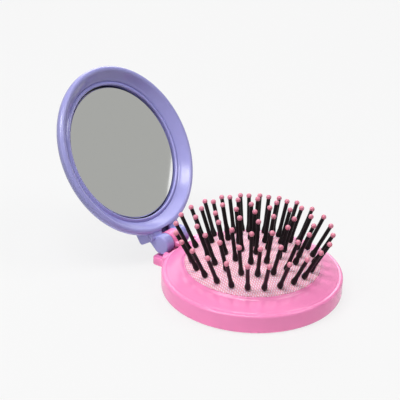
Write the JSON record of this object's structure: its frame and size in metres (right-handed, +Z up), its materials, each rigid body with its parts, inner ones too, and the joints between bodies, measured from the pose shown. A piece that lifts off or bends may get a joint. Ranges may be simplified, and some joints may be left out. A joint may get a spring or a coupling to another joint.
{
  "type": "folding pop-up hairbrush with mirror lid",
  "caption": "Round folding hairbrush: bristles with ball tips stand on a domed rubber cushion in a pink base; a lilac mirror lid is hinged to it and presses the bristles down as it closes.",
  "frame": {"origin": "centre of the base's underside, on the surface that the brush stands on", "axes": "+Z up out of the cushion; the hinge lies on the -X side with its pin parallel to Y, and the lid opens towards -X"},
  "size_m": [0.109, 0.065, 0.0658],
  "materials": {
    "pink_plastic": "glossy moulded pink plastic",
    "pale_plastic": "matt pale pink plastic",
    "rubber": "pale pink rubber with a fine woven-look texture",
    "bristle_nylon": "black moulded nylon, semi-gloss",
    "tip_resin": "dusky pink resin beads",
    "steel": "drawn steel wire",
    "lilac_plastic": "glossy moulded lilac plastic",
    "mirror": "silvered glass",
    "lacquer": "black lacquer on the mirror's back",
    "foam": "dark adhesive foam"
  },
  "bodies": {
    "base": {"base_shell": "pink_plastic", "back_ring": "pink_plastic", "clamp_ring": "pale_plastic", "cushion": "rubber"},
    "pin": {"hinge_pin": "steel"},
    "lid": {"lid_shell": "lilac_plastic", "mirror_ring": "lilac_plastic", "mirror_glass": "mirror", "mirror_lacquer": "lacquer", "foam_pad": "foam"},
    "pad": {"thumb_disc": "pink_plastic", "centre_bristles": "bristle_nylon", "centre_tips": "tip_resin"},
    "mid_sector_1": {"mid_bristles_1": "bristle_nylon", "mid_tips_1": "tip_resin"},
    "mid_sector_2": {"mid_bristles_2": "bristle_nylon", "mid_tips_2": "tip_resin"},
    "mid_sector_3": {"mid_bristles_3": "bristle_nylon", "mid_tips_3": "tip_resin"},
    "mid_sector_4": {"mid_bristles_4": "bristle_nylon", "mid_tips_4": "tip_resin"},
    "mid_sector_5": {"mid_bristles_5": "bristle_nylon", "mid_tips_5": "tip_resin"},
    "mid_sector_6": {"mid_bristles_6": "bristle_nylon", "mid_tips_6": "tip_resin"},
    "outer_sector_1": {"outer_bristles_1": "bristle_nylon", "outer_tips_1": "tip_resin"},
    "outer_sector_2": {"outer_bristles_2": "bristle_nylon", "outer_tips_2": "tip_resin"},
    "outer_sector_3": {"outer_bristles_3": "bristle_nylon", "outer_tips_3": "tip_resin"},
    "outer_sector_4": {"outer_bristles_4": "bristle_nylon", "outer_tips_4": "tip_resin"},
    "outer_sector_5": {"outer_bristles_5": "bristle_nylon", "outer_tips_5": "tip_resin"},
    "outer_sector_6": {"outer_bristles_6": "bristle_nylon", "outer_tips_6": "tip_resin"},
    "outer_sector_7": {"outer_bristles_7": "bristle_nylon", "outer_tips_7": "tip_resin"},
    "outer_sector_8": {"outer_bristles_8": "bristle_nylon", "outer_tips_8": "tip_resin"}
  },
  "joints": [
    {"name": "lid_close", "type": "hinge", "parent": "base", "child": "pin", "pos_m": [-0.0365, 0, 0.0077], "axis": [0, -1, 0], "range_deg": [-122.8, 0]},
    {"name": "lid_flatten", "type": "hinge", "parent": "pin", "child": "lid", "pos_m": [-0.0365, 0, 0.0077], "axis": [0, -1, 0], "range_deg": [0, 57.2]},
    {"name": "pad_retract", "type": "slide", "parent": "base", "child": "pad", "axis": [0, 0, 1], "range_m": [-0.021, 0], "deforming": ["cushion"]},
    {"name": "mid_lean_1", "type": "hinge", "parent": "pad", "child": "mid_sector_1", "pos_m": [0.01316, 0.0076, 0.0132], "axis": [-0.5, 0.866, 0], "range_deg": [-11, 0]},
    {"name": "mid_lean_2", "type": "hinge", "parent": "pad", "child": "mid_sector_2", "pos_m": [0, 0.0152, 0.0132], "axis": [-1, 0, 0], "range_deg": [-11, 0]},
    {"name": "mid_lean_3", "type": "hinge", "parent": "pad", "child": "mid_sector_3", "pos_m": [-0.01316, 0.0076, 0.0132], "axis": [-0.5, -0.866, 0], "range_deg": [-11, 0]},
    {"name": "mid_lean_4", "type": "hinge", "parent": "pad", "child": "mid_sector_4", "pos_m": [-0.01316, -0.0076, 0.0132], "axis": [0.5, -0.866, 0], "range_deg": [-11, 0]},
    {"name": "mid_lean_5", "type": "hinge", "parent": "pad", "child": "mid_sector_5", "pos_m": [0, -0.0152, 0.0132], "axis": [1, 0, 0], "range_deg": [-11, 0]},
    {"name": "mid_lean_6", "type": "hinge", "parent": "pad", "child": "mid_sector_6", "pos_m": [0.01316, -0.0076, 0.0132], "axis": [0.5, 0.866, 0], "range_deg": [-11, 0]},
    {"name": "outer_lean_1", "type": "hinge", "parent": "pad", "child": "outer_sector_1", "pos_m": [0.0191, 0, 0.0082], "axis": [0, 1, 0], "range_deg": [-24, 0]},
    {"name": "outer_lean_2", "type": "hinge", "parent": "pad", "child": "outer_sector_2", "pos_m": [0.01351, 0.01351, 0.0082], "axis": [-0.7071, 0.7071, 0], "range_deg": [-24, 0]},
    {"name": "outer_lean_3", "type": "hinge", "parent": "pad", "child": "outer_sector_3", "pos_m": [0, 0.0191, 0.0082], "axis": [-1, 0, 0], "range_deg": [-24, 0]},
    {"name": "outer_lean_4", "type": "hinge", "parent": "pad", "child": "outer_sector_4", "pos_m": [-0.01351, 0.01351, 0.0082], "axis": [-0.7071, -0.7071, 0], "range_deg": [-24, 0]},
    {"name": "outer_lean_5", "type": "hinge", "parent": "pad", "child": "outer_sector_5", "pos_m": [-0.0191, 0, 0.0082], "axis": [0, -1, 0], "range_deg": [-24, 0]},
    {"name": "outer_lean_6", "type": "hinge", "parent": "pad", "child": "outer_sector_6", "pos_m": [-0.01351, -0.01351, 0.0082], "axis": [0.7071, -0.7071, 0], "range_deg": [-24, 0]},
    {"name": "outer_lean_7", "type": "hinge", "parent": "pad", "child": "outer_sector_7", "pos_m": [0, -0.0191, 0.0082], "axis": [1, 0, 0], "range_deg": [-24, 0]},
    {"name": "outer_lean_8", "type": "hinge", "parent": "pad", "child": "outer_sector_8", "pos_m": [0.01351, -0.01351, 0.0082], "axis": [0.7071, 0.7071, 0], "range_deg": [-24, 0]}
  ],
  "couplings": [
    {"joint": "lid_close", "follows": "pad_retract", "rad_per_m": 102.06},
    {"joint": "mid_lean_1", "follows": "pad_retract", "rad_per_m": 9.142},
    {"joint": "mid_lean_2", "follows": "pad_retract", "rad_per_m": 9.142},
    {"joint": "mid_lean_3", "follows": "pad_retract", "rad_per_m": 9.142},
    {"joint": "mid_lean_4", "follows": "pad_retract", "rad_per_m": 9.142},
    {"joint": "mid_lean_5", "follows": "pad_retract", "rad_per_m": 9.142},
    {"joint": "mid_lean_6", "follows": "pad_retract", "rad_per_m": 9.142},
    {"joint": "outer_lean_1", "follows": "pad_retract", "rad_per_m": 19.946},
    {"joint": "outer_lean_2", "follows": "pad_retract", "rad_per_m": 19.946},
    {"joint": "outer_lean_3", "follows": "pad_retract", "rad_per_m": 19.946},
    {"joint": "outer_lean_4", "follows": "pad_retract", "rad_per_m": 19.946},
    {"joint": "outer_lean_5", "follows": "pad_retract", "rad_per_m": 19.946},
    {"joint": "outer_lean_6", "follows": "pad_retract", "rad_per_m": 19.946},
    {"joint": "outer_lean_7", "follows": "pad_retract", "rad_per_m": 19.946},
    {"joint": "outer_lean_8", "follows": "pad_retract", "rad_per_m": 19.946}
  ]
}
